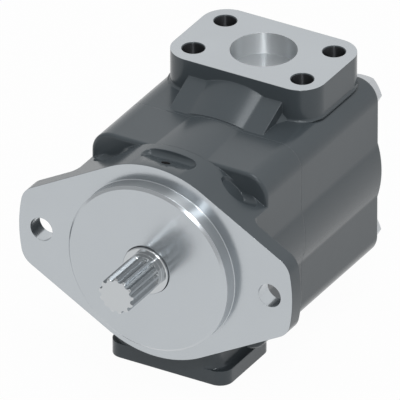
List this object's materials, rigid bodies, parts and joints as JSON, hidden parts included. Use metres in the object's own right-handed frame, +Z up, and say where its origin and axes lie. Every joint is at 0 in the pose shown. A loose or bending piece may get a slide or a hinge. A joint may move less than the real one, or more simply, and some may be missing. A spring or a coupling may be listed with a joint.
{
  "type": "hydraulic vane pump",
  "caption": "Flange-mounted hydraulic vane pump: splined shaft, round pilot, square cast body, upper inlet pad, lower outlet pad, and a vane cartridge inside that turns.",
  "frame": {"origin": "where the shaft's axis crosses the mounting face, at the root of the pilot", "axes": "+Y from the mounting face to the rear of the pump along the shaft, +Z up through the inlet port, +X to the right seen from the shaft's end"},
  "size_m": [0.1748, 0.2038, 0.1524],
  "materials": {
    "casting": "satin dark grey paint, bare machined faces",
    "bolt_steel": "zinc plated",
    "rubber": "matt",
    "shaft_steel": "ground and bright",
    "plated_steel": "pressed sheet",
    "spring_steel": "blued",
    "bearing_steel": "polished",
    "cast_iron": "machined",
    "ptfe": "smooth",
    "bronze": "lapped",
    "hard_steel": "ground",
    "black_steel": "black oxide"
  },
  "bodies": {
    "housing": {"pump_body": "casting", "inlet_cover": "casting", "cover_bolt_1": "bolt_steel", "cover_bolt_2": "bolt_steel", "cover_bolt_3": "bolt_steel", "cover_bolt_4": "bolt_steel", "cover_seal": "rubber", "shaft_seal_case": "plated_steel", "shaft_seal_lip": "rubber", "garter_spring": "spring_steel", "bearing_outer_race": "bearing_steel", "bearing_retaining_ring": "spring_steel", "outlet_support_plate": "cast_iron", "outlet_plate_seal": "rubber", "outlet_plate_backup_ring": "ptfe", "front_side_plate": "bronze", "rear_side_plate": "bronze", "cam_ring": "hard_steel", "inlet_support_plate": "cast_iron", "shaft_bushing": "bronze", "locating_pin_upper": "bearing_steel", "locating_pin_lower": "bearing_steel", "cartridge_screw_left": "black_steel", "cartridge_screw_right": "black_steel"},
    "shaft_and_rotor": {"drive_shaft": "shaft_steel", "rotor": "hard_steel", "bearing_inner_race": "bearing_steel", "shaft_retaining_ring": "spring_steel", "vane_insert_1": "bearing_steel", "vane_insert_2": "bearing_steel", "vane_insert_3": "bearing_steel", "vane_insert_4": "bearing_steel", "vane_insert_5": "bearing_steel", "vane_insert_6": "bearing_steel", "vane_insert_7": "bearing_steel", "vane_insert_8": "bearing_steel", "vane_insert_9": "bearing_steel", "vane_insert_10": "bearing_steel"},
    "ball_set": {"bearing_cage": "plated_steel", "bearing_ball_1": "bearing_steel", "bearing_ball_2": "bearing_steel", "bearing_ball_3": "bearing_steel", "bearing_ball_4": "bearing_steel", "bearing_ball_5": "bearing_steel", "bearing_ball_6": "bearing_steel", "bearing_ball_7": "bearing_steel", "bearing_ball_8": "bearing_steel", "bearing_ball_9": "bearing_steel"},
    "vane_1": {"vane_1": "hard_steel"},
    "vane_2": {"vane_2": "hard_steel"},
    "vane_3": {"vane_3": "hard_steel"},
    "vane_4": {"vane_4": "hard_steel"},
    "vane_5": {"vane_5": "hard_steel"},
    "vane_6": {"vane_6": "hard_steel"},
    "vane_7": {"vane_7": "hard_steel"},
    "vane_8": {"vane_8": "hard_steel"},
    "vane_9": {"vane_9": "hard_steel"},
    "vane_10": {"vane_10": "hard_steel"}
  },
  "joints": [
    {"name": "shaft_spin", "type": "hinge", "parent": "housing", "child": "shaft_and_rotor", "pos_m": [0, 0, 0], "axis": [0, 1, 0], "continuous": true},
    {"name": "ball_set_spin", "type": "hinge", "parent": "housing", "child": "ball_set", "pos_m": [0, 0.0145, 0], "axis": [0, 1, 0], "continuous": true},
    {"name": "vane_1_slide", "type": "slide", "parent": "shaft_and_rotor", "child": "vane_1", "axis": [0.9877, 0, 0.1564], "range_m": [0, 0.00307]},
    {"name": "vane_2_slide", "type": "slide", "parent": "shaft_and_rotor", "child": "vane_2", "axis": [0.7071, 0, 0.7071], "range_m": [0, 0.00167]},
    {"name": "vane_3_slide", "type": "slide", "parent": "shaft_and_rotor", "child": "vane_3", "axis": [0.1564, 0, 0.9877], "range_m": [0, 0.000411]},
    {"name": "vane_4_slide", "type": "slide", "parent": "shaft_and_rotor", "child": "vane_4", "axis": [-0.454, 0, 0.891], "range_m": [0, 0.000874]},
    {"name": "vane_5_slide", "type": "slide", "parent": "shaft_and_rotor", "child": "vane_5", "axis": [-0.891, 0, 0.454], "range_m": [0, 0.00251]},
    {"name": "vane_6_slide", "type": "slide", "parent": "shaft_and_rotor", "child": "vane_6", "axis": [-0.9877, 0, -0.1564], "range_m": [0, 0.00307]},
    {"name": "vane_7_slide", "type": "slide", "parent": "shaft_and_rotor", "child": "vane_7", "axis": [-0.7071, 0, -0.7071], "range_m": [0, 0.00167]},
    {"name": "vane_8_slide", "type": "slide", "parent": "shaft_and_rotor", "child": "vane_8", "axis": [-0.1564, 0, -0.9877], "range_m": [0, 0.000411]},
    {"name": "vane_9_slide", "type": "slide", "parent": "shaft_and_rotor", "child": "vane_9", "axis": [0.454, 0, -0.891], "range_m": [0, 0.000874]},
    {"name": "vane_10_slide", "type": "slide", "parent": "shaft_and_rotor", "child": "vane_10", "axis": [0.891, 0, -0.454], "range_m": [0, 0.00251]}
  ],
  "couplings": [
    {"joint": "ball_set_spin", "follows": "shaft_spin", "ratio": 0.3969}
  ]
}
